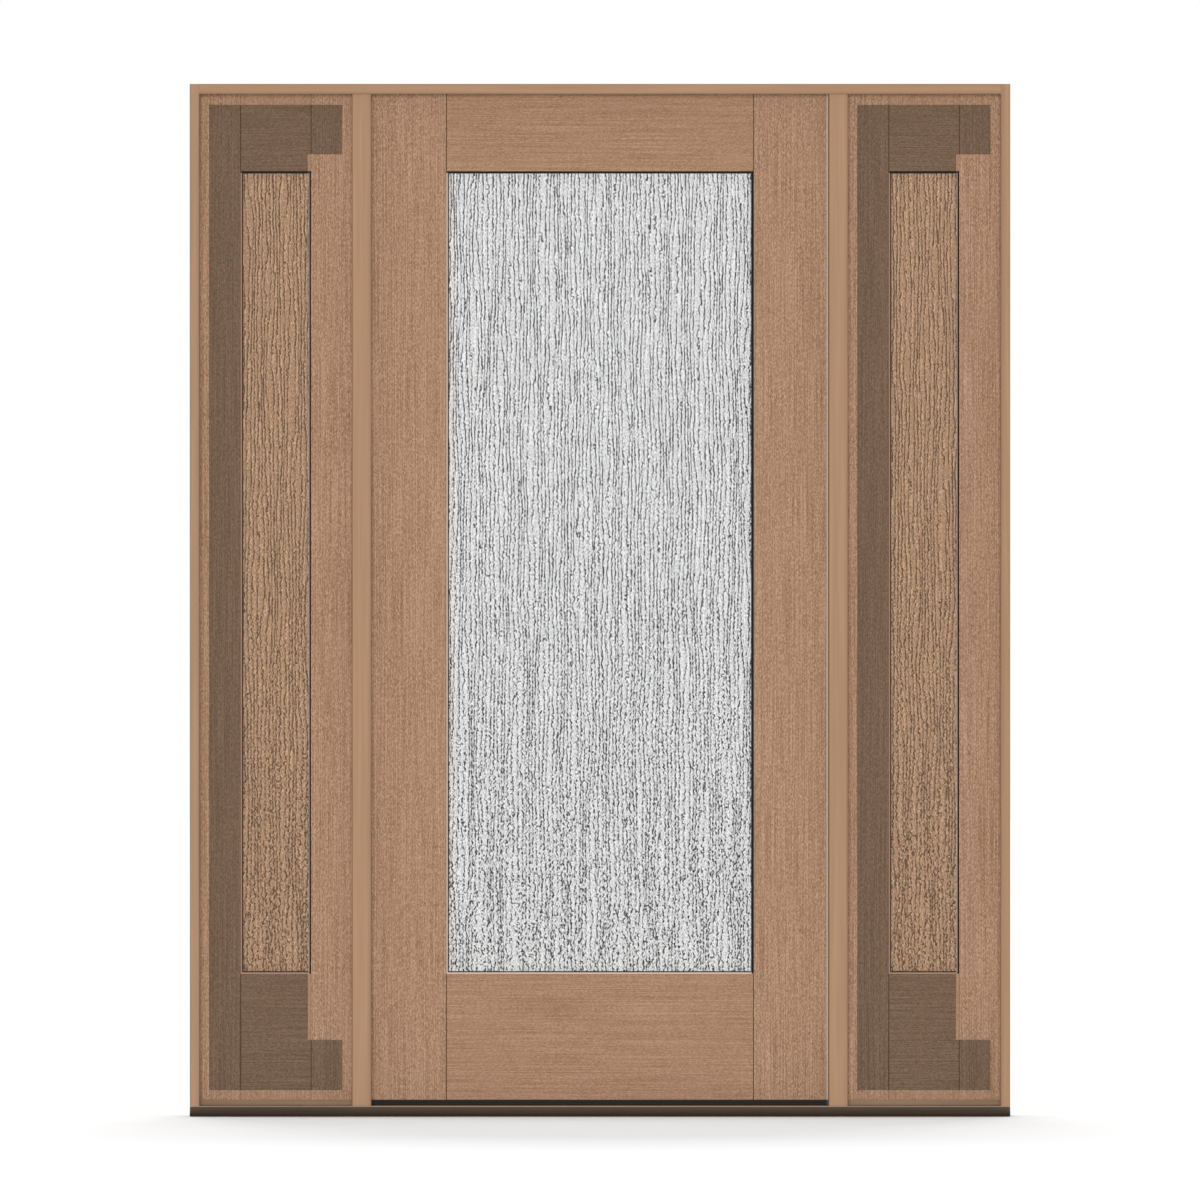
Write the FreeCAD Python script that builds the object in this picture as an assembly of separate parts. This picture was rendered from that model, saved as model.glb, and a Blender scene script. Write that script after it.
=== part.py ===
# Entry door with two fixed sidelights, in a rabbeted timber frame on a metal sill.
# X runs along the width, the outside faces -Y, Z is up. The origin is under the middle of the sill.
import FreeCAD, Part
import os
from FreeCAD import Vector

os.makedirs("parts", exist_ok=True)

# Frame sizes, in millimetres
unit_width = 1628.0
unit_height = 2048.0
frame_depth = 116.0
jamb_face = 19.0
head_face = 20.0
mullion_face = 38.0
mullion_setback = 8.0
sidelight_face = 303.0
frame_ease = 1.5

# Sill sizes
sill_height = 20.0
sill_step = 6.0
nose_height = 8.0
nose_projection = 27.0
nose_round = 4.0
tread_margin = 2.0
tread_round = 5.0
tread_skin = 2.0

# Leaf and panel sizes
leaf_thickness = 44.5
door_stile_face = 149.0
side_stile_face = 81.5
top_rail_face = 153.0
bottom_rail_face = 250.0
leaf_ease = 1.5
lock_bevel = 2.4
joint_groove = 0.8

# Glazing sizes
lip_bevel = 3.0
lip_depth = 14.0
glazing_rebate = 12.0
gasket_thickness = 2.0
gasket_sight = 2.0
glass_thickness = 6.0

# Sweep, base strip and seal sizes
sweep_height = 11.0
sweep_web = 4.0
sweep_fin = 4.0
sweep_fins = 4
sweep_rib = 1.0
sweep_ribs = 3
base_setback = 2.0
seal_width = 8.0
seal_base = 3.0
seal_barb = 8.0
seal_kerf = 2.5
lock_seal_sight = 4.0

# Hinge sizes
hinge_height = 102.0
hinge_plate = 3.0
hinge_reach = 32.0
hinge_corner = 6.0
knuckle_radius = 6.0
knuckles = 5
pin_radius = 3.0
pin_cap_radius = 5.2
pin_cap_height = 4.0
pin_cap_bevel = 1.8
top_hinge_drop = 178.0
bottom_hinge_rise = 279.0

# Clearances
leaf_gap = 5.0
stop_lap = 5.0
side_lap = 5.0
seal_space = 7.0
seal_clearance = 0.5
seal_inset = 0.5
kerf_clearance = 0.2
sweep_inset = 2.0
sweep_end = 4.0
sweep_cover = 1.0
glass_edge = 2.0
mitre_gap = 0.2
knuckle_gap = 0.4
barrel_clearance = 0.6
pin_clearance = 0.05

# Planes shared by the pieces
half_width = unit_width / 2
front = -frame_depth / 2
back = frame_depth / 2
leaf_front = back - leaf_thickness
stop_back = leaf_front - seal_space
jamb_inner = half_width - jamb_face
jamb_seat = jamb_inner + side_lap
mullion_outer = jamb_inner - sidelight_face
mullion_seat = mullion_outer - side_lap
stop_edge = mullion_outer - mullion_face
leaf_half = stop_edge + stop_lap
rabbet = leaf_half + leaf_gap
sill_back = sill_height - sill_step
head_under = unit_height - head_face
panel_bottom = sill_height + sweep_height
panel_top = head_under + stop_lap
lite_bottom = panel_bottom + bottom_rail_face
lite_top = head_under - top_rail_face
kerf_line = rabbet - seal_inset - seal_width / 2
head_kerf_line = panel_top + leaf_gap - seal_inset - seal_width / 2
hinge_x = -(leaf_half + leaf_gap / 2)
hinge_y = back + knuckle_radius + barrel_clearance

parts = {}


def block(x0, x1, y0, y1, z0, z1):
    return Part.makeBox(x1 - x0, y1 - y0, z1 - z0, Vector(x0, y0, z0))


def drawn(points, path):
    """A closed outline drawn along a straight path."""
    return Part.Face(Part.makePolygon(points + points[:1])).extrude(path)


def upright(outline, z0, z1):
    """A plan outline in X and Y, raised between two heights."""
    return drawn([Vector(x, y, z0) for x, y in outline], Vector(0, 0, z1 - z0))


def level(outline, x0, x1):
    """A side outline in Y and Z, drawn along the width."""
    return drawn([Vector(x0, y, z) for y, z in outline], Vector(x1 - x0, 0, 0))


def flat(outline, y0, y1):
    """A front outline in X and Z, given a depth."""
    return drawn([Vector(x, y0, z) for x, z in outline], Vector(0, y1 - y0, 0))


def across(shape, x=0.0):
    """The same piece on the other side of an upright plane."""
    return shape.mirror(Vector(x, 0, 0), Vector(1, 0, 0))


def rod(x, y, z0, z1, radius):
    return Part.makeCylinder(radius, z1 - z0, Vector(x, y, z0))


def edges_along(shape, axis, test):
    """Straight edges that run along an axis and whose middle passes the test."""
    found = []
    for edge in shape.Edges:
        span = edge.Vertexes[-1].Point - edge.Vertexes[0].Point
        if span.Length > 0 and abs(span.dot(axis)) > 0.999 * span.Length and test(edge.CenterOfMass):
            found.append(edge)
    return found


def sill_outline(skin):
    """Side outline of the sill, drawn in from its upper faces by a skin."""
    nose = front - nose_projection
    tread = front - tread_margin
    run = tread - nose
    rise = sill_height - nose_height
    drop = skin * (run * run + rise * rise) ** 0.5 / run
    nose_top = nose_height + skin * rise / run - drop
    tread_start = nose + (rise - skin + drop) * run / rise
    return [
        (nose + skin, 0.0),
        (nose + skin, nose_top),
        (tread_start, sill_height - skin),
        (stop_back - skin, sill_height - skin),
        (stop_back - skin, sill_back - skin),
        (back - skin, sill_back - skin),
        (back - skin, 0.0),
    ]


# Sill: a metal tread folded over a composite substrate
along_x = Vector(1, 0, 0)
sill_core = level(sill_outline(tread_skin), -half_width, half_width)
sill_body = level(sill_outline(0.0), -half_width, half_width)
nose_edge = edges_along(sill_body, along_x, lambda p: p.y < front - tread_margin - 1 and p.z > 1)
sill_body = sill_body.makeFillet(nose_round, nose_edge)
tread_edge = edges_along(sill_body, along_x, lambda p: p.y < front - tread_margin + 1 and p.z > sill_height - 0.1)
sill_body = sill_body.makeFillet(tread_round, tread_edge)
parts["sill_tread"] = sill_body.cut(sill_core)
parts["sill_substrate"] = sill_core

# Jambs: a stop in front and a seat for the sidelight behind it, coped over the sill
jamb_post = upright(
    [
        (-half_width, front + frame_ease),
        (-half_width + frame_ease, front),
        (-jamb_inner - frame_ease, front),
        (-jamb_inner, front + frame_ease),
        (-jamb_inner, back),
        (-half_width, back),
    ],
    sill_back,
    head_under,
)
jamb_head = upright(
    [
        (-half_width, front + frame_ease),
        (-half_width + frame_ease, front),
        (-jamb_inner, front),
        (-jamb_inner, back),
        (-half_width, back),
    ],
    head_under,
    unit_height,
)
left_jamb = jamb_post.fuse(jamb_head).removeSplitter()
left_jamb = left_jamb.cut(block(-jamb_seat, -jamb_inner, leaf_front, back, 0, panel_top))
left_jamb = left_jamb.cut(sill_body)
parts["left_jamb"] = left_jamb
parts["right_jamb"] = across(left_jamb)

# Head jamb: fits between the jambs, rabbeted for the leaf and both panels
head = level(
    [
        (front + frame_ease, unit_height),
        (front, unit_height - frame_ease),
        (front, head_under + frame_ease),
        (front + frame_ease, head_under),
        (back, head_under),
        (back, unit_height),
    ],
    -jamb_inner,
    jamb_inner,
)
head = head.cut(block(-rabbet, rabbet, stop_back, back, head_under, panel_top + leaf_gap))
side_rabbet = block(-jamb_inner, -mullion_seat, leaf_front, back, head_under, panel_top)
head = head.cut(side_rabbet).cut(across(side_rabbet))
kerf_half = seal_kerf / 2
kerf_bottom = stop_back - seal_barb - kerf_clearance
kerf_low = head_kerf_line - kerf_half
head_kerf = block(-rabbet, rabbet, kerf_bottom, stop_back, kerf_low, kerf_low + seal_kerf)
parts["head_jamb"] = head.cut(head_kerf)

# Mullion posts: set back from the head, with a stop and rabbet for the leaf and a seat for the panel
post_front = front + mullion_setback
left_mullion = upright(
    [
        (-mullion_outer, post_front + frame_ease),
        (-mullion_outer + frame_ease, post_front),
        (-stop_edge - frame_ease, post_front),
        (-stop_edge, post_front + frame_ease),
        (-stop_edge, stop_back),
        (-rabbet, stop_back),
        (-rabbet, back),
        (-mullion_seat, back),
        (-mullion_seat, leaf_front),
        (-mullion_outer, leaf_front),
    ],
    sill_back,
    head_under,
).cut(sill_body)
kerf_near = -kerf_line - kerf_half
post_kerf = block(kerf_near, kerf_near + seal_kerf, kerf_bottom, stop_back, sill_height, head_under)
left_mullion = left_mullion.cut(post_kerf)
parts["right_mullion"] = across(left_mullion)


def stile(outer, joint):
    """A left-hand stile: bevelled lip towards the glass, with a rebate open to the back."""
    sight = joint + lip_bevel
    wall = sight - glazing_rebate
    return upright(
        [
            (outer, leaf_front + leaf_ease),
            (outer + leaf_ease, leaf_front),
            (joint, leaf_front),
            (sight, leaf_front + lip_bevel),
            (sight, leaf_front + lip_depth),
            (wall, leaf_front + lip_depth),
            (wall, back),
            (outer + leaf_ease, back),
            (outer, back - leaf_ease),
        ],
        panel_bottom,
        panel_top,
    )


def rail(x0, x1, edge, joint):
    """A rail between two widths, with the same lip and rebate along its glass edge."""
    toward = 1.0 if joint > edge else -1.0
    sight = joint + toward * lip_bevel
    wall = sight - toward * glazing_rebate
    return level(
        [
            (leaf_front, edge),
            (leaf_front, joint),
            (leaf_front + lip_bevel, sight),
            (leaf_front + lip_depth, sight),
            (leaf_front + lip_depth, wall),
            (back, wall),
            (back, edge),
        ],
        x0,
        x1,
    )


def joint_line(x, face, inward, z0, z1):
    """The fine groove where a rail meets a stile."""
    outline = [(x - joint_groove, face), (x + joint_groove, face), (x, face + inward * joint_groove)]
    return upright(outline, z0, z1)


def mitred_strips(x0, x1, z0, z1, width, y0, y1):
    """Four strips inside a rectangle, cut at 45 degrees with a hairline where they meet."""
    near = mitre_gap
    far = mitre_gap + width
    bottom = [(x0 + near, z0), (x1 - near, z0), (x1 - far, z0 + width), (x0 + far, z0 + width)]
    top = [(x, z0 + z1 - z) for x, z in bottom]
    left = [(x0, z0 + near), (x0 + width, z0 + far), (x0 + width, z1 - far), (x0, z1 - near)]
    right = [(x0 + x1 - x, z) for x, z in left]
    return [flat(outline, y0, y1) for outline in (bottom, top, left, right)]


def rectangle(x0, x1, z0, z1, y):
    return Part.makePolygon([Vector(x, y, z) for x, z in [(x0, z0), (x1, z0), (x1, z1), (x0, z1), (x0, z0)]])


def glazed_panel(left, right, stile_width):
    """Stiles, coped rails, glass, gaskets and beads of a leaf or panel between two edges."""
    middle = (left + right) / 2
    joint = left + stile_width
    sight = joint + lip_bevel
    wall = sight - glazing_rebate
    far_joint = 2 * middle - joint
    far_sight = 2 * middle - sight
    far_wall = 2 * middle - wall
    low_wall = lite_bottom + lip_bevel - glazing_rebate
    high_wall = lite_top - lip_bevel + glazing_rebate

    near_stile = stile(left, joint)
    far_stile = across(near_stile, middle)
    bottom = rail(wall, far_wall, panel_bottom, lite_bottom).cut(near_stile).cut(far_stile)
    top = rail(wall, far_wall, panel_top, lite_top).cut(near_stile).cut(far_stile)

    grooves = []
    for z0, z1, back_z0, back_z1 in [
        (panel_bottom, lite_bottom, panel_bottom, low_wall),
        (lite_top, panel_top, high_wall, panel_top),
    ]:
        for x, back_x in [(joint, wall), (far_joint, far_wall)]:
            grooves.append(joint_line(x, leaf_front, 1.0, z0, z1))
            grooves.append(joint_line(back_x, back, -1.0, back_z0, back_z1))
    near_stile, far_stile, bottom, top = [piece.cut(grooves) for piece in (near_stile, far_stile, bottom, top)]

    front_gasket = leaf_front + lip_depth
    glass_front = front_gasket + gasket_thickness
    glass_back = glass_front + glass_thickness
    bead_front = glass_back + gasket_thickness
    glass = block(
        wall + glass_edge,
        far_wall - glass_edge,
        glass_front,
        glass_back,
        low_wall + glass_edge,
        high_wall - glass_edge,
    )
    gasket_width = glazing_rebate + gasket_sight
    gaskets = mitred_strips(wall, far_wall, low_wall, high_wall, gasket_width, front_gasket, glass_front)
    gaskets += mitred_strips(wall, far_wall, low_wall, high_wall, gasket_width, glass_back, bead_front)
    low_sight = lite_bottom + lip_bevel
    high_sight = lite_top - lip_bevel
    splay = Part.makeLoft(
        [
            rectangle(sight, far_sight, low_sight, high_sight, back - lip_bevel),
            rectangle(joint, far_joint, lite_bottom, lite_top, back),
        ],
        True,
    )
    beads = mitred_strips(wall, far_wall, low_wall, high_wall, glazing_rebate, bead_front, back)
    beads = [bead.cut(splay) for bead in beads]
    return {
        "left_stile": near_stile,
        "right_stile": far_stile,
        "top_rail": top,
        "bottom_rail": bottom,
        "glass": glass,
        "gaskets": Part.makeCompound(gaskets),
        "beads": Part.makeCompound(beads),
    }


# Sidelights: panels seated in the frame on a base strip
side_stile_width = side_lap + side_stile_face
for name, left, right in [
    ("left_sidelight", -jamb_seat, -mullion_seat),
    ("right_sidelight", mullion_seat, jamb_seat),
]:
    for piece, shape in glazed_panel(left, right, side_stile_width).items():
        parts[name + "_" + piece] = shape
    parts[name + "_base"] = block(left, right, leaf_front + base_setback, back, sill_back, panel_bottom)

# Door leaf, with the closing edge of the lock stile bevelled
door = glazed_panel(-leaf_half, leaf_half, stop_lap + door_stile_face)
lock_wedge = upright(
    [(leaf_half - lock_bevel, leaf_front), (leaf_half, leaf_front), (leaf_half, back)],
    panel_bottom,
    panel_top,
)
parts["door_lock_stile"] = door["right_stile"].cut(lock_wedge)
for piece in ["top_rail", "bottom_rail", "glass", "gaskets", "beads"]:
    parts["door_" + piece] = door[piece]

# Sweep: a comb of fins under the leaf, ribbed in front
sweep_front = leaf_front + sweep_inset
sweep_back = back - sweep_inset
sweep_bottom = sill_height - sweep_cover
fin_pitch = (sweep_back - sweep_front - sweep_fin) / (sweep_fins - 1)
comb = [(sweep_back, panel_bottom), (sweep_front, panel_bottom)]
for index in range(sweep_fins):
    fin = sweep_front + index * fin_pitch
    comb += [(fin, panel_bottom - sweep_web), (fin, sweep_bottom)]
    comb += [(fin + sweep_fin, sweep_bottom), (fin + sweep_fin, panel_bottom - sweep_web)]
comb = [point for index, point in enumerate(comb) if index not in (2, len(comb) - 1)]
sweep_half = leaf_half - sweep_end
sweep = level(comb, -sweep_half, sweep_half)
rib_pitch = (panel_bottom - sweep_bottom) / (sweep_ribs + 1)
for index in range(sweep_ribs):
    z = sweep_bottom + (index + 1) * rib_pitch
    outline = [(sweep_front, z - sweep_rib), (sweep_front, z + sweep_rib), (sweep_front + sweep_rib, z)]
    sweep = sweep.cut(level(outline, -sweep_half, sweep_half))
parts["door_sweep"] = sweep


def seal_section(u0, u1):
    """A seal's outline across its width and out from the stop, with a rounded crown."""
    base = stop_back + seal_base
    crown = leaf_front - seal_clearance
    return [(u0, stop_back), (u0, base), ((u0 + u1) / 2, crown), (u1, base), (u1, stop_back)]


def seal_wire(place, points):
    """The outline closed, with an arc through its crown."""
    a, b, c, d, e = [place(u, y) for u, y in points]
    edges = [Part.makeLine(e, a), Part.makeLine(a, b), Part.Arc(b, c, d).toShape(), Part.makeLine(d, e)]
    return Part.Face(Part.Wire(edges))


# Seals pushed into kerfs in the stops, the lock-side one wide enough to show past its stop
barb_half = kerf_half - kerf_clearance
barb_bottom = stop_back - seal_barb
for name, near, far, line in [
    ("hinge_seal", -kerf_line - seal_width / 2, -kerf_line + seal_width / 2, -kerf_line),
    ("lock_seal", stop_edge - lock_seal_sight, rabbet - seal_inset, kerf_line),
]:
    face = seal_wire(lambda u, y: Vector(u, y, sill_height), seal_section(near, far))
    crown = face.extrude(Vector(0, 0, head_under - sill_height))
    barb = block(line - barb_half, line + barb_half, barb_bottom, stop_back, sill_height, head_under)
    parts[name] = crown.fuse(barb).removeSplitter()
head_section = seal_section(head_kerf_line - seal_width / 2, head_kerf_line + seal_width / 2)
crown = seal_wire(lambda u, y: Vector(-rabbet, y, u), head_section).extrude(Vector(2 * rabbet, 0, 0))
barb = block(-rabbet, rabbet, barb_bottom, stop_back, head_kerf_line - barb_half, head_kerf_line + barb_half)
parts["head_seal"] = crown.fuse(barb).removeSplitter()


def hinge_leaf(plate_x, z0, own):
    """One plate of a butt hinge with its own knuckles, cleared round the other plate's."""
    z1 = z0 + hinge_height
    pitch = (hinge_height + knuckle_gap) / knuckles
    plate = block(plate_x, plate_x + hinge_plate, back - hinge_reach, hinge_y, z0, z1)
    corners = edges_along(plate, along_x, lambda p: p.y < back - hinge_reach + 1)
    leaf = plate.makeFillet(hinge_corner, corners)
    mortise = leaf.copy()
    for index in range(knuckles):
        low = z0 + index * pitch
        high = low + pitch - knuckle_gap
        if index % 2 == own:
            leaf = leaf.fuse(rod(hinge_x, hinge_y, low, high, knuckle_radius))
        else:
            room = knuckle_radius + barrel_clearance
            leaf = leaf.cut(rod(hinge_x, hinge_y, low - knuckle_gap, high + knuckle_gap, room))
    leaf = leaf.cut(rod(hinge_x, hinge_y, z0 - 1, z1 + 1, pin_radius + pin_clearance))
    return leaf.removeSplitter(), mortise


def hinge_pin(z0):
    """A pin with a bevelled cap at each end of the barrel."""
    z1 = z0 + hinge_height
    pin = rod(hinge_x, hinge_y, z0, z1, pin_radius)
    for low, rim in [(z1, z1 + pin_cap_height), (z0 - pin_cap_height, z0 - pin_cap_height)]:
        cap = rod(hinge_x, hinge_y, low, low + pin_cap_height, pin_cap_radius)
        outer = [edge for edge in cap.Edges if edge.Closed and abs(edge.CenterOfMass.z - rim) < 0.01]
        pin = pin.fuse(cap.makeChamfer(pin_cap_bevel, outer))
    return pin.removeSplitter()


# Hinges: plates let into the mullion and the hinge stile, knuckles interleaved on one pin
hinge_stile = door["left_stile"]
upper = panel_top - top_hinge_drop - hinge_height
lower = panel_bottom + bottom_hinge_rise
for name, z0 in [("upper_hinge", upper), ("middle_hinge", (upper + lower) / 2), ("lower_hinge", lower)]:
    frame_leaf, frame_mortise = hinge_leaf(-rabbet - hinge_plate, z0, 0)
    door_leaf, door_mortise = hinge_leaf(-leaf_half, z0, 1)
    left_mullion = left_mullion.cut(frame_mortise)
    hinge_stile = hinge_stile.cut(door_mortise)
    parts[name + "_frame_leaf"] = frame_leaf
    parts[name + "_door_leaf"] = door_leaf
    parts[name + "_pin"] = hinge_pin(z0)
parts["left_mullion"] = left_mullion
parts["door_hinge_stile"] = hinge_stile

for name, shape in parts.items():
    shape.exportStep("parts/" + name + ".step")
    print(name, len(shape.Solids), round(shape.Volume / 1000.0, 1), shape.isValid())
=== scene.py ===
# Looks of an entry door with two sidelights: stained fir, rain glass, bronze sill and butt hinges.
import math

import bmesh
import bpy
from mathutils import Matrix, Vector, noise


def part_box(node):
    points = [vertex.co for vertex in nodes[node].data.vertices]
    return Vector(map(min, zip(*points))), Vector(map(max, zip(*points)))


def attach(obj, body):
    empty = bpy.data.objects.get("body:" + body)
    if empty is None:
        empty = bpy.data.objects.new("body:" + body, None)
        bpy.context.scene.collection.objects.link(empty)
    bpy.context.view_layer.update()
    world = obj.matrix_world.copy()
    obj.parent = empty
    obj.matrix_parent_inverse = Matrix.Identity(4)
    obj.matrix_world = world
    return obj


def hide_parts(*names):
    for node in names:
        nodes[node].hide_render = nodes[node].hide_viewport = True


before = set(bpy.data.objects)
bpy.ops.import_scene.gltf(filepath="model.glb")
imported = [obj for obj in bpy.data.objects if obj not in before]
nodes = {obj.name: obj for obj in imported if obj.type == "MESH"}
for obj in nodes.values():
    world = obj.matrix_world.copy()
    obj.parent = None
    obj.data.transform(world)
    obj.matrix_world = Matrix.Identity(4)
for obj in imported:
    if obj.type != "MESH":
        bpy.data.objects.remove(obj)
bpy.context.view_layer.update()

mm = 0.001

HINGES = ("upper_hinge", "middle_hinge", "lower_hinge")
# Heights of the lower and the upper edge of all three lights
LITE_LOW, LITE_HIGH = 281 * mm, 1875 * mm
# A panel's outside face with its lip, and the outside gaskets, lie in front of these depths
PANEL_OUTSIDE, GASKET_OUTSIDE = 30 * mm, 32 * mm
# The glazing rebate is this much wider than the light, so the rails end further out on the room side
ROOM_REBATE = 9 * mm


def hue(code):
    """A colour given as sRGB hex, in linear light."""
    parts = [int(code[i:i + 2], 16) / 255 for i in (1, 3, 5)]
    return [c / 12.92 if c <= 0.04045 else ((c + 0.055) / 1.055) ** 2.4 for c in parts] + [1.0]


def put(finish, kind, feeds=None, stops=(), **settings):
    """Adds one node to a finish, with its settings, and a value or a feeding socket for each socket
    named. Sockets go by number where names repeat: Map Range takes its value as 0, the range that it
    reads as 1 and 2 and the range that it gives as 3 and 4; Mix takes its share as 0, and two numbers
    as 2 and 3 or two colours as 6 and 7."""
    node = finish.node_tree.nodes.new("ShaderNode" + kind)
    for setting, value in settings.items():
        setattr(node, setting, value)
    for place, code in stops:
        ramp = node.color_ramp.elements
        if place == stops[0][0]:
            stop = ramp[0]
        else:
            stop = ramp[-1] if place == stops[-1][0] else ramp.new(place)
        stop.position, stop.color = place, hue(code)
    for socket, value in (feeds or {}).items():
        if isinstance(value, bpy.types.NodeSocket):
            finish.node_tree.links.new(value, node.inputs[socket])
        else:
            node.inputs[socket].default_value = value
    return node


def new_finish(name, **constants):
    """An empty finish with its shader's constant sockets set; returns it with the shader's inputs."""
    finish = bpy.data.materials.new(name)
    finish.use_nodes = True
    sockets = finish.node_tree.nodes["Principled BSDF"].inputs
    for socket, value in constants.items():
        sockets[socket.replace("_", " ")].default_value = value
    return finish, sockets


def grain_scale(width, length, level):
    """Scale of a noise whose marks are so many millimetres wide and long, along X if level and along Z
    if not."""
    thin, drawn_out = 1 / (width * mm), 1 / (length * mm)
    return (drawn_out, thin, thin) if level else (thin, thin, drawn_out)


def surface(finish, sockets, colour, grain, rough, bump):
    """Joins a colour to a finish's shader, and lets its grain drive the roughness, between the two values
    given, and the bump, with its strength and its depth in millimetres."""
    strength, depth = bump
    rough = put(finish, "MapRange", {0: grain, 1: 0.3, 2: 0.7, 3: rough[0], 4: rough[1]}).outputs[0]
    raised = {"Strength": strength, "Distance": depth * mm, "Height": grain}
    raised = put(finish, "Bump", raised).outputs[0]
    for socket, value in (("Base Color", colour), ("Roughness", rough), ("Normal", raised)):
        finish.node_tree.links.new(value, sockets[socket])
    return finish


def dress(finish, *names):
    """Gives model pieces a finish."""
    for name in names:
        mesh = nodes[name].data
        mesh.materials.clear()
        mesh.materials.append(finish)


def add_piece(name, shape, finish):
    """Makes a piece of a shape, which is used up, and gives it a finish."""
    mesh = bpy.data.meshes.new(name)
    shape.to_mesh(mesh)
    shape.free()
    mesh.materials.append(finish)
    piece = bpy.data.objects.new(name, mesh)
    bpy.context.collection.objects.link(piece)
    return piece


# ---------------------------------------------------------------- stained panels and frame

# Shades of each stain in the dark, middle and pale grain
DOOR_STAIN = ("#846245", "#A07C60", "#BD997B")
FRAME_STAIN = ("#A68266", "#AA8669", "#AF8A6D")
RAIL_STAIN = ("#8B684B", "#9D785B", "#B08C6E")
DARK_STAIN = ("#5F4834", "#6C533E", "#7A604B")
# The base strips' stain is painted shade: darker than the frame's, standing for the shade in the recess
# under the sidelight panels
PAINTED_SHADE_BASE_STAIN = ("#8E725B", "#947760", "#997C65")
# Warm patches, the seam, a painted shade along the frame's edges, and the black painted shade on the lip's
# right and top bevels
WARM_STAIN, SEAM_STAIN, PAINTED_EDGE_SHADE, PAINTED_LIP_SHADE = "#A98269", "#3A2A1E", "#4A3424", "#120C08"
PANEL_STOPS = (0.34, 0.5, 0.66)
FRAME_STOPS = (0.3, 0.5, 0.7)


def panel_stain(name, level, centre, half_lite, dark_patch, painted_lip_highlight, mitred=False):
    """Straight-grained fir, sanded and wiped with stain: matt, with short flecks and long streaks in the
    grain, slow warm patches, and a shallow grain in the surface. The routed lip of the light has painted
    light on its bevels: a pale painted highlight along the left and bottom ones and a black painted shade
    along the right and top ones."""
    finish, sockets = new_finish(name, Specular_IOR_Level=0.2)
    place = put(finish, "TexCoord").outputs["Object"]
    split = put(finish, "SeparateXYZ", {0: place}).outputs
    across = put(finish, "Math", {0: split["X"], 1: centre}, operation="SUBTRACT").outputs[0]
    aside = put(finish, "Math", {0: across}, operation="ABSOLUTE").outputs[0]
    outside = {0: split["Y"], 1: PANEL_OUTSIDE}
    outside = put(finish, "Math", outside, operation="LESS_THAN").outputs[0]
    middle_z, half_z = (LITE_LOW + LITE_HIGH) / 2, (LITE_HIGH - LITE_LOW) / 2

    # Flecks 2 mm wide and 5 mm long, and streaks 2.2 mm wide and 220 mm long, drawn at four times the
    # width of the real pores so that they show; the rails show more of the streaks
    grains = []
    for lying, streaky in ((False, 0.32), (True, 0.36)):
        layers = []
        for width, length, detail in ((2, 5, 1.0), (2.2, 220, 0.0)):
            scale = grain_scale(width, length, lying)
            laid = put(finish, "Mapping", {"Vector": place, "Scale": scale}).outputs[0]
            layer = {"Vector": laid, "Scale": 1.0, "Detail": detail}
            layers.append(put(finish, "TexNoise", layer).outputs[0])
        grains.append(put(finish, "Mix", {0: streaky, 2: layers[0], 3: layers[1]}).outputs[0])

    # Warm patches about 40 mm across
    laid = put(finish, "Mapping", {"Vector": place, "Scale": grain_scale(40, 40, level)}).outputs[0]
    tone = put(finish, "TexNoise", {"Vector": laid, "Scale": 1.0, "Detail": 2.0}).outputs[0]
    tone = put(finish, "MapRange", {0: tone, 1: 0.3, 2: 0.7, 3: 0.0, 4: 0.35}).outputs[0]

    grain = grains[1] if level else grains[0]
    if mitred:
        # Round a frame of beads the grain turns at each mitre, where the way in from both edges is equal
        aloft = put(finish, "Math", {0: split["Z"], 1: middle_z}, operation="SUBTRACT").outputs[0]
        aloft = put(finish, "Math", {0: aloft}, operation="ABSOLUTE").outputs[0]
        ends = put(finish, "Math", {0: half_z, 1: aloft}, operation="SUBTRACT").outputs[0]
        sides = put(finish, "Math", {0: half_lite, 1: aside}, operation="SUBTRACT").outputs[0]
        lying = put(finish, "Math", {0: ends, 1: sides}, operation="LESS_THAN").outputs[0]
        grain = put(finish, "Mix", {0: lying, 2: grains[0], 3: grains[1]}).outputs[0]
    if dark_patch:
        # A darker wash of stain in a C shape: a rectangle less a notch that runs out at its right side
        x0, x1, z0, z1, notch_x, notch_z0, notch_z1 = [side * mm for side in dark_patch]
        past = x1 + 50 * mm
        patch = None
        for low_x, high_x, low_z, high_z in [(x0, x1, z0, z1), (notch_x, past, notch_z0, notch_z1)]:
            wide = {0: across, 1: (low_x + high_x) / 2, 2: (high_x - low_x) / 2}
            tall = {0: split["Z"], 1: (low_z + high_z) / 2, 2: (high_z - low_z) / 2}
            wide = put(finish, "Math", wide, operation="COMPARE").outputs[0]
            tall = put(finish, "Math", tall, operation="COMPARE").outputs[0]
            inside = put(finish, "Math", {0: wide, 1: tall}, operation="MULTIPLY").outputs[0]
            if patch:
                unnotched = put(finish, "Math", {0: 1.0, 1: inside}, operation="SUBTRACT").outputs[0]
                patch = put(finish, "Math", {0: patch, 1: unnotched}, operation="MULTIPLY").outputs[0]
            else:
                patch = inside
        if level:
            grain = put(finish, "Mix", {0: patch, 2: grains[0], 3: grains[1]}).outputs[0]

    stops = list(zip(PANEL_STOPS, RAIL_STAIN if level else DOOR_STAIN))
    colour = put(finish, "ValToRGB", {0: grain}, stops=stops).outputs[0]
    colour = put(finish, "Mix", {0: tone, 6: colour, 7: hue(WARM_STAIN)}, data_type="RGBA").outputs[2]
    if dark_patch:
        stops = list(zip(PANEL_STOPS, DARK_STAIN))
        dark = put(finish, "ValToRGB", {0: grain}, stops=stops).outputs[0]
        colour = put(finish, "Mix", {0: patch, 6: colour, 7: dark}, data_type="RGBA").outputs[2]

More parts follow.
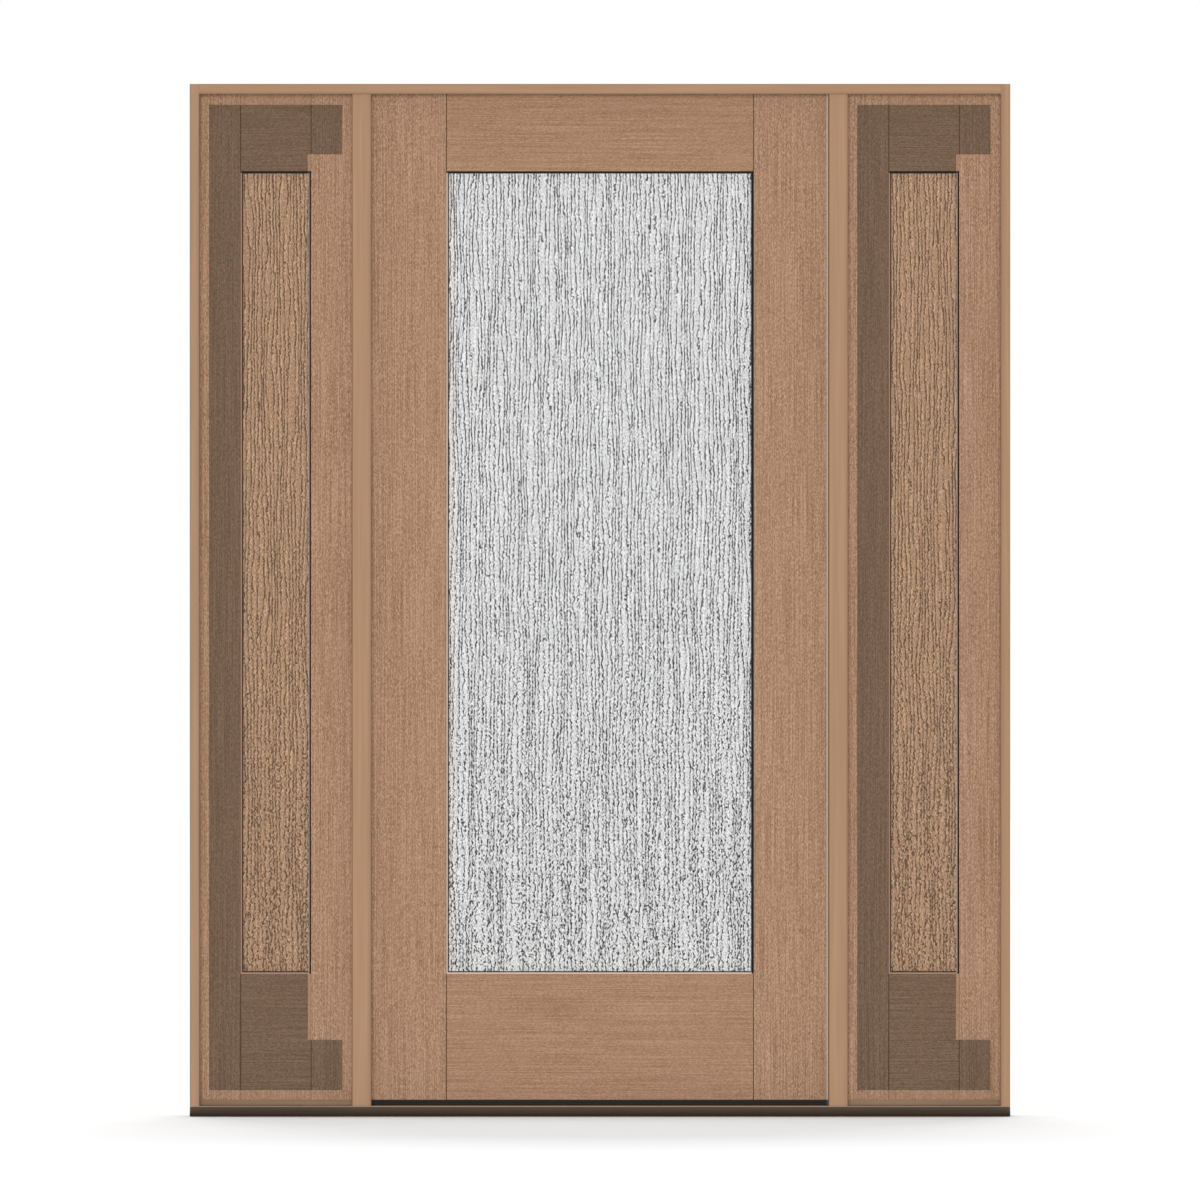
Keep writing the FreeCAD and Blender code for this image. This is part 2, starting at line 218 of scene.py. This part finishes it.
    # Stain gathers in the fine groove, 2 mm wide, where a rail meets a stile
    joint = put(finish, "Mix", {0: outside, 2: half_lite + ROOM_REBATE, 3: half_lite}).outputs[0]
    seam = put(finish, "Math", {0: aside, 1: joint, 2: 1.0 * mm}, operation="COMPARE").outputs[0]
    for share in (patch, 0.5) if dark_patch else (1.0, 0.75):
        seam = put(finish, "Math", {0: seam, 1: share}, operation="MULTIPLY").outputs[0]
    colour = put(finish, "Mix", {0: seam, 6: colour, 7: hue(SEAM_STAIN)}, data_type="RGBA").outputs[2]

    # The lip's bevels round the light, on the outside only: a pale painted highlight along the left and
    #     bottom edges, and a black painted shade a little in from the right and top edges
    half_pale, half_black, black_in = 1.2 * mm, 1.6 * mm, 2.0 * mm
    edges = []
    for along, line, half_line, over, middle, half in [
        (across, -half_lite + half_pale, half_pale, split["Z"], middle_z, half_z),
        (split["Z"], LITE_LOW + half_pale, half_pale, across, 0.0, half_lite),
        (across, half_lite - black_in, half_black, split["Z"], middle_z, half_z),
        (split["Z"], LITE_HIGH - black_in, half_black, across, 0.0, half_lite),
    ]:
        near = put(finish, "Math", {0: along, 1: line, 2: half_line}, operation="COMPARE").outputs[0]
        span = put(finish, "Math", {0: over, 1: middle, 2: half}, operation="COMPARE").outputs[0]
        near = put(finish, "Math", {0: near, 1: span}, operation="MULTIPLY").outputs[0]
        edges.append(put(finish, "Math", {0: near, 1: outside}, operation="MULTIPLY").outputs[0])
    pale = put(finish, "Math", {0: edges[0], 1: edges[1]}, operation="MAXIMUM").outputs[0]
    black = put(finish, "Math", {0: edges[2], 1: edges[3]}, operation="MAXIMUM").outputs[0]
    colour = put(finish, "Mix", {0: pale, 6: colour, 7: hue(painted_lip_highlight)}, data_type="RGBA").outputs[2]
    colour = put(finish, "Mix", {0: black, 6: colour, 7: hue(PAINTED_LIP_SHADE)}, data_type="RGBA").outputs[2]
    return surface(finish, sockets, colour, grain, (0.66, 0.52), (0.35, 0.3))


def frame_stain(name, level, shades, front=0.0, edges=()):
    """Smooth timber frame sprayed with a solid stain: almost one colour, with a faint long grain, and a
    painted shade on the front over the last few millimetres before an edge. Each edge has its axis, where
    the painted shade starts and where it is full, and how strong it is."""
    finish, sockets = new_finish(name, Specular_IOR_Level=0.15)
    place = put(finish, "TexCoord").outputs["Object"]
    split = put(finish, "SeparateXYZ", {0: place}).outputs
    laid = put(finish, "Mapping", {"Vector": place, "Scale": grain_scale(6, 260, level)}).outputs[0]
    grain = put(finish, "TexNoise", {"Vector": laid, "Scale": 1.0, "Detail": 3.0}).outputs[0]
    colour = put(finish, "ValToRGB", {0: grain}, stops=list(zip(FRAME_STOPS, shades))).outputs[0]
    facing = put(finish, "Math", {0: split["Y"], 1: front * mm}, operation="LESS_THAN").outputs[0]
    # Painted shade towards each edge, on the front face only
    for axis, clear, full, depth in edges:
        edge_shade = {0: split[axis], 1: clear * mm, 2: full * mm, 3: 0.0, 4: depth}
        edge_shade = put(finish, "MapRange", edge_shade, interpolation_type="SMOOTHSTEP").outputs[0]
        edge_shade = put(finish, "Math", {0: edge_shade, 1: facing}, operation="MULTIPLY").outputs[0]
        darker = {0: edge_shade, 6: colour, 7: hue(PAINTED_EDGE_SHADE)}
        colour = put(finish, "Mix", darker, data_type="RGBA").outputs[2]
    return surface(finish, sockets, colour, grain, (0.76, 0.68), (0.1, 0.1))


# Dark patch of a sidelight, in millimetres from the middle of its panel: rectangle, then the notch
PATCH = (-132.8, 131.8, 49.8, 2006.6, 63.4, 150.0, 1908.2)
# Each panel's middle, half the width of its light, its dark patch and the colour of the painted highlight
# on its lip
PANELS = {
    "door": (0.0, 305 * mm, None, "#DEC6B3"),
    "left_sidelight": (-643.5 * mm, 70 * mm, PATCH, "#B4917A"),
    "right_sidelight": (643.5 * mm, 70 * mm, PATCH, "#B4917A"),
}
for panel, (centre, half_lite, patch, painted_lip_highlight) in PANELS.items():
    standing = panel_stain(panel + "_upright_fir", False, centre, half_lite, patch, painted_lip_highlight)
    lying = panel_stain(panel + "_level_fir", True, centre, half_lite, patch, painted_lip_highlight)
    mitred = panel_stain(panel + "_bead_fir", False, centre, half_lite, patch, painted_lip_highlight, mitred=True)
    stiles = ["hinge_stile", "lock_stile"] if panel == "door" else ["left_stile", "right_stile"]
    dress(standing, *[panel + "_" + stile for stile in stiles])
    dress(mitred, panel + "_beads")
    dress(lying, panel + "_top_rail", panel + "_bottom_rail")
# Frame members, each with painted shade along the inner and outer edges of its front
for member, level, front, edges in [
    ("left_jamb", False, -56.4, [("X", -804, -795, 0.1), ("X", -812.2, -812.8, 0.3)]),
    ("right_jamb", False, -56.4, [("X", 807, 795, 0.18), ("X", 812.2, 812.8, 0.15)]),
    ("left_mullion", False, -48.4, [("X", -463, -454, 0.15), ("X", -490, -491, 0.25)]),
    ("right_mullion", False, -48.4, [("X", 483, 492, 0.15), ("X", 456, 455, 0.25)]),
    ("head_jamb", True, -56.4, [("Z", 2037, 2028, 0.14), ("Z", 2046.2, 2046.8, 0.3)]),
]:
    dress(frame_stain(member + "_timber", level, FRAME_STAIN, front, edges), member)
# Base strips under the sidelights, darker all over as painted shade of their recess
shaded_base_timber = frame_stain("base_strip_painted_shade_timber", True, PAINTED_SHADE_BASE_STAIN)
dress(shaded_base_timber, "left_sidelight_base", "right_sidelight_base")


# ---------------------------------------------------------------- rain glass

# Heights in metres: the rivulets are whole from the first one up and most broken from the second down
WHOLE_ABOVE, BROKEN_BELOW = 1.5, 0.45
RIVULETS_APART = 7.7 * mm
# Tone of the glass between the rivulets, from 0 in the painted shade of a rivulet to 1 along its painted
# highlight
PLAIN = 0.6


def rain_glass(name, shades, gloss):
    """Soda-lime glass rolled with a rain pattern: fine rivulets that tremble down it, long and straight
    above, short dashes towards the bottom, and a faint dimple between them. Each rivulet's dark line, the
    bright band on its right and the dimples' mottle are painted shade and painted highlight that stand
    for the light the ripples bend."""
    finish, sockets = new_finish(
        name, IOR=1.5, Transmission_Weight=0.25, Roughness=0.6, Specular_IOR_Level=gloss)
    links = finish.node_tree.links
    place = put(finish, "TexCoord").outputs["Object"]

    def drift(where, wide, tall, detail):
        """Noise over the pane, in steps of so many millimetres across and down."""
        scale = (1 / (wide * mm), 0.0, 1 / (tall * mm))
        laid = put(finish, "Mapping", {"Vector": where, "Scale": scale}).outputs[0]
        return put(finish, "TexNoise", {"Vector": laid, "Scale": 1.0, "Detail": detail}).outputs[0]

    height = put(finish, "SeparateXYZ", {0: place}).outputs["Z"]
    broken = {0: height, 1: WHOLE_ABOVE, 2: BROKEN_BELOW, 3: 0.0, 4: 0.75}
    broken = put(finish, "MapRange", broken).outputs[0]
    uneven = {0: drift(place, 45, 140, 1.0), 1: 0.25, 2: 0.75, 3: -0.4, 4: 0.4}
    uneven = put(finish, "MapRange", uneven).outputs[0]
    broken = put(finish, "Math", {0: broken, 1: uneven}, operation="ADD", use_clamp=True).outputs[0]

    # Rivulets counted from the left, wandering, at two points 1 mm apart: the part of the count past a
    # whole number, over its slope, is the distance in millimetres from the nearest rivulet
    counts = []
    sway = put(finish, "MapRange", {0: broken, 1: 0.0, 2: 1.0, 3: 1.2, 4: 1.5}).outputs[0]
    tremble = put(finish, "MapRange", {0: broken, 1: 0.0, 2: 1.0, 3: 0.4, 4: 0.85}).outputs[0]
    for step in (0.0, 1 * mm):
        moved = put(finish, "VectorMath", {0: place, 1: (step, 0, 0)}, operation="ADD").outputs[0]
        across = put(finish, "SeparateXYZ", {0: moved}).outputs["X"]
        quick = {0: broken, 2: drift(moved, 9, 44, 1.5), 3: drift(moved, 7, 13, 1.0)}
        quick = put(finish, "Mix", quick).outputs[0]
        count = {0: across, 1: 1 / RIVULETS_APART}
        count = put(finish, "Math", count, operation="MULTIPLY").outputs[0]
        for wander, reach in (
            (drift(moved, 34, 280, 1.0), 3.5), (drift(moved, 9, 6, 0.0), tremble), (quick, sway)
        ):
            count = {0: wander, 1: reach, 2: count}
            count = put(finish, "Math", count, operation="MULTIPLY_ADD").outputs[0]
        counts.append(count)
    slope = put(finish, "Math", {0: counts[1], 1: counts[0]}, operation="SUBTRACT").outputs[0]
    steep = put(finish, "Math", {0: slope}, operation="ABSOLUTE").outputs[0]
    steep = put(finish, "Math", {0: steep, 1: 0.03}, operation="MAXIMUM").outputs[0]
    side = put(finish, "Math", {0: slope}, operation="SIGN").outputs[0]
    beside = put(finish, "Math", {0: counts[0]}, operation="FRACT").outputs[0]
    beside = put(finish, "Math", {0: beside, 1: 0.5}, operation="SUBTRACT").outputs[0]
    beside = put(finish, "Math", {0: beside, 1: steep}, operation="DIVIDE").outputs[0]
    beside = put(finish, "Math", {0: beside, 1: side}, operation="MULTIPLY").outputs[0]
    wider = {0: height, 1: WHOLE_ABOVE, 2: BROKEN_BELOW, 3: 0.9, 4: 0.66}
    wider = put(finish, "MapRange", wider).outputs[0]
    beside = put(finish, "Math", {0: beside, 1: wider}, operation="MULTIPLY").outputs[0]

    # The painted shade of a rivulet and the painted highlight on its right side: where each lies, its half
    # width, its fade and its change of tone
    tone = PLAIN
    for line, half, fade, change in ((0.0, 0.92, 1.65, -0.6), (2.4, 0.7, 1.5, 0.4)):
        off = put(finish, "Math", {0: beside, 1: line}, operation="SUBTRACT").outputs[0]
        off = put(finish, "Math", {0: off}, operation="ABSOLUTE").outputs[0]
        near = {0: off, 1: half, 2: fade, 3: change, 4: 0.0}
        near = put(finish, "MapRange", near, interpolation_type="SMOOTHSTEP").outputs[0]
        tone = put(finish, "Math", {0: near, 1: tone}, operation="ADD").outputs[0]

    # Rivulets fade out here and there: over long runs above, over short ones and in dashes below
    whole = {0: drift(place, 7, 38, 1.0), 1: 0.38, 2: 0.5, 3: 0.3, 4: 1.0}
    whole = put(finish, "MapRange", whole).outputs[0]
    short = {0: drift(place, 5, 14, 1.0), 1: 0.4, 2: 0.46, 3: 0.1, 4: 1.0}
    short = put(finish, "MapRange", short).outputs[0]
    strength = put(finish, "Mix", {0: broken, 2: whole, 3: short}).outputs[0]
    gap = put(finish, "MapRange", {0: broken, 1: 0.0, 2: 1.0, 3: 0.55, 4: 0.15}).outputs[0]
    dash = {0: drift(place, 5, 6, 0.0), 1: 0.38, 2: 0.5, 3: gap, 4: 1.0}
    dash = put(finish, "MapRange", dash).outputs[0]
    strength = put(finish, "Math", {0: strength, 1: dash}, operation="MULTIPLY").outputs[0]
    tone = put(finish, "Mix", {0: strength, 2: PLAIN, 3: tone}).outputs[0]
    # The dimples are a fine mottle of painted shade and painted highlight
    dimple = {0: drift(place, 2.0, 4.5, 1.0), 1: 0.3, 2: 0.7, 3: -0.36, 4: 0.31}
    dimple = put(finish, "MapRange", dimple).outputs[0]
    tone = put(finish, "Math", {0: tone, 1: dimple}, operation="ADD", use_clamp=True).outputs[0]
    stops = [(0.0, shades[0]), (PLAIN, shades[1]), (1.0, shades[2])]
    links.new(put(finish, "ValToRGB", {0: tone}, stops=stops).outputs[0], sockets["Base Color"])
    ripple = drift(place, 6, 40, 1.0)
    bump = put(finish, "Bump", {"Strength": 0.5, "Distance": 0.5 * mm, "Height": ripple}).outputs[0]
    links.new(bump, sockets["Normal"])
    return finish


def rain_pane(panel, columns, rows, body, finish):
    """A pane that replaces the model's flat one: rippled on the outside, flat on the room side."""
    ripple = 0.6 * mm
    low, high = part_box(panel + "_glass")
    middle, size = (low + high) / 2, high - low
    pane = bmesh.new()
    bmesh.ops.create_grid(pane, x_segments=columns, y_segments=rows, size=0.5)
    stand = Matrix.Translation((middle.x, low.y, low.z)) @ Matrix.Rotation(math.pi / 2, 4, "X")
    bmesh.ops.translate(pane, vec=(0, 0.5, 0), verts=pane.verts)
    bmesh.ops.scale(pane, vec=(size.x, 1, 1), verts=pane.verts)
    bmesh.ops.transform(pane, matrix=stand, verts=pane.verts)
    for point in pane.verts:
        # Rows lie closer together towards the bottom, where the pattern is short
        part = point.co.z - low.z
        point.co.z = low.z + size.z * (0.45 * part + 0.55 * part * part)
        long_run = noise.noise((point.co.x / (11 * mm), 3.7, point.co.z / (140 * mm)))
        short_run = noise.noise((point.co.x / (9 * mm), 8.1, point.co.z / (30 * mm)))
        # Short ripples take over from the long ones between 1.15 m and 0.35 m up
        broken = min(1.0, max(0.0, (1.15 - point.co.z) / 0.8))
        point.co.y += ripple * abs(long_run + (short_run - long_run) * broken)
    rim = [edge for edge in pane.edges if edge.is_boundary]
    wall = bmesh.ops.extrude_edge_only(pane, edges=rim)["geom"]
    for point in wall:
        if isinstance(point, bmesh.types.BMVert):
            point.co.y = high.y
    loop = [edge for edge in wall if isinstance(edge, bmesh.types.BMEdge) and edge.is_boundary]
    bmesh.ops.edgeloop_fill(pane, edges=loop)
    bmesh.ops.recalc_face_normals(pane, faces=pane.faces)
    for face in pane.faces:
        face.smooth = len(face.verts) == 4
    piece = add_piece(panel + "_rain_pane", pane, finish)
    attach(piece, body)
    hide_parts(panel + "_glass")


# Shades of the glass: painted shade in a rivulet, the glass's own colour between rivulets, and painted
# highlight along a rivulet's right side
clear_shades_painted_rivulets = ("#060606", "#E6E6E6", "#FFFFFF")
bronze_shades_painted_rivulets = ("#5A4633", "#B59072", "#DCB692")
rain_pane("door", 300, 220, "door", rain_glass("clear_rain_glass", clear_shades_painted_rivulets, 0.3))
bronze_rain_glass = rain_glass("bronze_rain_glass", bronze_shades_painted_rivulets, 0.06)
for panel in ("left_sidelight", "right_sidelight"):
    rain_pane(panel, 80, 300, "frame", bronze_rain_glass)


# ---------------------------------------------------------------- rubber, vinyl and metal

MOTTLE_STOPS = (0.3, 0.7)


def moulded(name, shades, rough, grit, marks=()):
    """Extruded rubber or vinyl: matt, one colour with a fine mottle; marks are bands across X or Z, on the
    outside, painted in a colour of their own, such as a painted highlight on a lip, a painted shadow in a
    gap and a darker band at the bottom."""
    finish, sockets = new_finish(name, Specular_IOR_Level=0.3)
    place = put(finish, "TexCoord").outputs["Object"]
    split = put(finish, "SeparateXYZ", {0: place}).outputs
    mottle = put(finish, "TexNoise", {"Vector": place, "Scale": 1 / grit, "Detail": 3.0}).outputs[0]
    colour = put(finish, "ValToRGB", {0: mottle}, stops=list(zip(MOTTLE_STOPS, shades))).outputs[0]
    outside = {0: split["Y"], 1: GASKET_OUTSIDE}
    outside = put(finish, "Math", outside, operation="LESS_THAN").outputs[0]
    for axis, middle, half, code in marks:
        near = {0: split[axis], 1: middle * mm, 2: half * mm}
        near = put(finish, "Math", near, operation="COMPARE").outputs[0]
        near = put(finish, "Math", {0: near, 1: outside}, operation="MULTIPLY").outputs[0]
        colour = put(finish, "Mix", {0: near, 6: colour, 7: hue(code)}, data_type="RGBA").outputs[2]
    return surface(finish, sockets, colour, mottle, (rough - 0.06, rough + 0.06), (0.15, 0.1))


def bronze_metal(name, shades, rough):
    """Aluminium or steel with a dark bronze finish: dull metal, brushed along X."""
    finish, sockets = new_finish(name, Metallic=0.2, Specular_IOR_Level=0.12)
    place = put(finish, "TexCoord").outputs["Object"]
    laid = put(finish, "Mapping", {"Vector": place, "Scale": grain_scale(2, 90, True)}).outputs[0]
    brush = put(finish, "TexNoise", {"Vector": laid, "Scale": 1.0, "Detail": 2.0}).outputs[0]
    colour = put(finish, "ValToRGB", {0: brush}, stops=list(zip(MOTTLE_STOPS, shades))).outputs[0]
    if name.startswith("sill"):
        # Painted shade darkens the nose towards the floor, and a painted highlight brightens the tread's
        # front edge
        split = put(finish, "SeparateXYZ", {0: place}).outputs
        nose_shade = {0: split["Z"], 1: 15 * mm, 2: 4 * mm, 3: 0.0, 4: 0.85}
        nose_shade = put(finish, "MapRange", nose_shade).outputs[0]
        nose_shade = put(finish, "Mix", {0: nose_shade, 6: colour, 7: hue("#160B03")}, data_type="RGBA").outputs[2]
        ahead = put(finish, "Math", {0: split["Y"], 1: -52 * mm}, operation="LESS_THAN").outputs[0]
        colour = put(finish, "Mix", {0: ahead, 6: colour, 7: nose_shade}, data_type="RGBA").outputs[2]
        edge_highlight = {0: split["Z"], 1: 17.8 * mm, 2: 18.6 * mm, 3: 0.0, 4: 1.0}
        edge_highlight = put(finish, "MapRange", edge_highlight).outputs[0]
        edge_highlight = put(finish, "Math", {0: edge_highlight, 1: ahead}, operation="MULTIPLY").outputs[0]
        colour = put(finish, "Mix", {0: edge_highlight, 6: colour, 7: hue("#B09C8A")}, data_type="RGBA").outputs[2]
    return surface(finish, sockets, colour, brush, (rough - 0.05, rough + 0.05), (0.1, 0.05))


gasket_shades = ("#0E0B09", "#1B1714")
dress(moulded("black_gasket_rubber", gasket_shades, 0.6, 3 * mm), "door_gaskets")
# A painted highlight: a pale line along the right gasket lip of each sidelight's light
gasket_painted_highlights = [("X", -578.0, 0.9, "#A79D97"), ("X", 709.0, 0.9, "#A79D97")]
highlit_gaskets = moulded("gasket_rubber_painted_highlight", gasket_shades, 0.6, 3 * mm, gasket_painted_highlights)
dress(highlit_gaskets, "left_sidelight_gaskets", "right_sidelight_gaskets")
dress(moulded("sweep_rubber", ("#24201D", "#2E2926"), 0.7, 4 * mm), "door_sweep")
seal_shades = ("#B3A799", "#C2B8AC")
dress(moulded("pale_seal_vinyl", seal_shades, 0.5, 4 * mm), "hinge_seal", "head_seal")
# The lock seal's marks: a painted shadow of the gap along its edge by the mullion, and its bottom 23 mm
# painted as dark as the sweep
painted_gap_shadow_and_dark_bottom = [("X", 455.0, 2.6, "#755A46"), ("Z", 20.0, 11.5, "#26221F")]
dress(moulded("lock_seal_vinyl", seal_shades, 0.5, 4 * mm, painted_gap_shadow_and_dark_bottom), "lock_seal")
dress(moulded("sill_composite", ("#2E2823", "#3C342D"), 0.8, 2 * mm), "sill_substrate")
dress(bronze_metal("sill_bronze_aluminium", ("#54463A", "#625246"), 0.66), "sill_tread")
hinge_steel = bronze_metal("hinge_bronze_steel", ("#463930", "#5A4A3D"), 0.36)
for hinge in HINGES:
    dress(hinge_steel, hinge + "_frame_leaf", hinge + "_door_leaf", hinge + "_pin")


# Screws of a hinge plate: millimetres up the plate, and depth in the frame
SCREWS = ((12, 34), (36, 46), (66, 46), (90, 34))
HEAD_RADIUS, HEAD_PROUD = 3.8 * mm, 0.7 * mm


def hinge_screws(plate, facing, body):
    """Four cross-head screws of one hinge plate, standing proud of it. A head is shaped with a radius of 1
    and then brought to size."""
    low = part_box(plate)[0]
    # The knuckles stand further out than the plate, so its own plane is read at the edge away from them
    edge_points = [point.co.x for point in nodes[plate].data.vertices if point.co.y < low.y + 1 * mm]
    plane = max(edge_points) if facing > 0 else min(edge_points)
    heads = bmesh.new()
    for up, back in SCREWS:
        cap = bmesh.ops.create_grid(heads, x_segments=5, y_segments=5, size=1.0)["verts"]
        top = {face for point in cap for face in point.link_faces}
        rim = {edge for point in cap for edge in point.link_edges if edge.is_boundary}
        for point in {point for edge in rim for point in edge.verts}:
            point.co.normalize()
        arms = [face for face in top if face.calc_center_median().length < 0.5]
        arms += list({edge for face in arms for edge in face.edges})
        sunk = bmesh.ops.extrude_face_region(heads, geom=arms)["geom"]
        sunk = [point for point in sunk if isinstance(point, bmesh.types.BMVert)]
        bmesh.ops.translate(heads, vec=(0, 0, -0.14), verts=sunk)
        skirt = bmesh.ops.extrude_edge_only(heads, edges=list(rim))["geom"]
        base = [edge for edge in skirt if isinstance(edge, bmesh.types.BMEdge) and edge.is_boundary]
        bmesh.ops.edgeloop_fill(heads, edges=base)
        skirt = [point for point in skirt if isinstance(point, bmesh.types.BMVert)]
        bmesh.ops.scale(heads, vec=(1.15, 1.15, 1), verts=skirt)
        bmesh.ops.translate(heads, vec=(0, 0, -0.22), verts=skirt)
        spot = Vector((plane + HEAD_PROUD * facing, back * mm, low.z + up * mm))
        turn = Matrix.Rotation(facing * math.pi / 2, 4, "Y")
        seat = Matrix.Translation(spot) @ turn @ Matrix.Scale(HEAD_RADIUS, 4)
        bmesh.ops.transform(heads, matrix=seat, verts=cap + sunk + skirt)
    bmesh.ops.recalc_face_normals(heads, faces=heads.faces)
    piece = add_piece(plate + "_screws", heads, hinge_steel)
    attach(piece, body)


for hinge in HINGES:
    hinge_screws(hinge + "_frame_leaf", 1, "frame")
    hinge_screws(hinge + "_door_leaf", -1, "door")


# ---------------------------------------------------------------- floor, light and camera

# A matt floor, 80 m wide and 1 mm under the sill, that throws no light back on the door
FLOOR_HALF, FLOOR_DROP = 40, 1 * mm
ground = bmesh.new()
bmesh.ops.create_grid(ground, x_segments=1, y_segments=1, size=FLOOR_HALF)
bmesh.ops.translate(ground, vec=(0, 0, -FLOOR_DROP), verts=ground.verts)
floor_paint, floor_sockets = new_finish("studio_floor_paint", Roughness=0.9, Specular_IOR_Level=0.0)
floor_sockets["Base Color"].default_value = (0.92, 0.92, 0.92, 1)
floor = add_piece("studio_floor", ground, floor_paint)
floor.visible_diffuse = floor.visible_shadow = False

# A white studio: full white to the eye, straight on or through glass, and dimmer as a light
AMBIENT = 0.4
scene = bpy.context.scene
scene.world = bpy.data.worlds.new("studio")
scene.world.use_nodes = True
tree = scene.world.node_tree
backdrop = tree.nodes["Background"]
backdrop.inputs["Color"].default_value = (1, 1, 1, 1)
ray = tree.nodes.new("ShaderNodeLightPath")
seen = tree.nodes.new("ShaderNodeMath")
seen.operation = "MAXIMUM"
tree.links.new(ray.outputs["Is Camera Ray"], seen.inputs[0])
tree.links.new(ray.outputs["Is Transmission Ray"], seen.inputs[1])
level = tree.nodes.new("ShaderNodeMapRange")
level.inputs["To Min"].default_value = AMBIENT
level.inputs["To Max"].default_value = 1.0
tree.links.new(seen.outputs[0], level.inputs["Value"])
tree.links.new(level.outputs[0], backdrop.inputs["Strength"])

for name, towards, power, spread in [
    ("key_light", Vector((-0.014, -1, 0.035)), 2.06, 12),
    ("top_light", Vector((0, 0, 1)), 1.1, 20),
    ("back_light", Vector((0, 0.83, 0.56)), 1.75, 30),
    ("left_light", Vector((-1, 0.6, 0.15)), 1.1, 20),
    ("right_light", Vector((1, 0.6, 0.15)), 1.1, 20),
]:
    lamp = bpy.data.lights.new(name, "SUN")
    lamp.energy = power
    lamp.angle = math.radians(spread)
    light = bpy.data.objects.new(name, lamp)
    light.rotation_mode = "QUATERNION"
    light.rotation_quaternion = towards.to_track_quat("Z", "Y")
    bpy.context.collection.objects.link(light)

# The photograph is almost flat, so the camera stands far off. In metres: how far, the eye's height, the
# height it looks at, how far the jambs' front stands before the middle, and the picture's width there
DISTANCE, EYE, AIM, FRONT, VIEW_WIDTH = 100.0, 2.05, 1.024, 0.058, 2.381
lens = bpy.data.cameras.new("camera")
lens.sensor_width = 36
lens.lens = lens.sensor_width * (DISTANCE - FRONT) / VIEW_WIDTH
lens.clip_start, lens.clip_end = 1, 400
camera = bpy.data.objects.new("camera", lens)
camera.location = (0, -DISTANCE, EYE)
camera.rotation_euler = (math.pi / 2 - math.atan((EYE - AIM) / (DISTANCE - FRONT)), 0, 0)
bpy.context.collection.objects.link(camera)
scene.camera = camera
scene.view_settings.view_transform = "Standard"
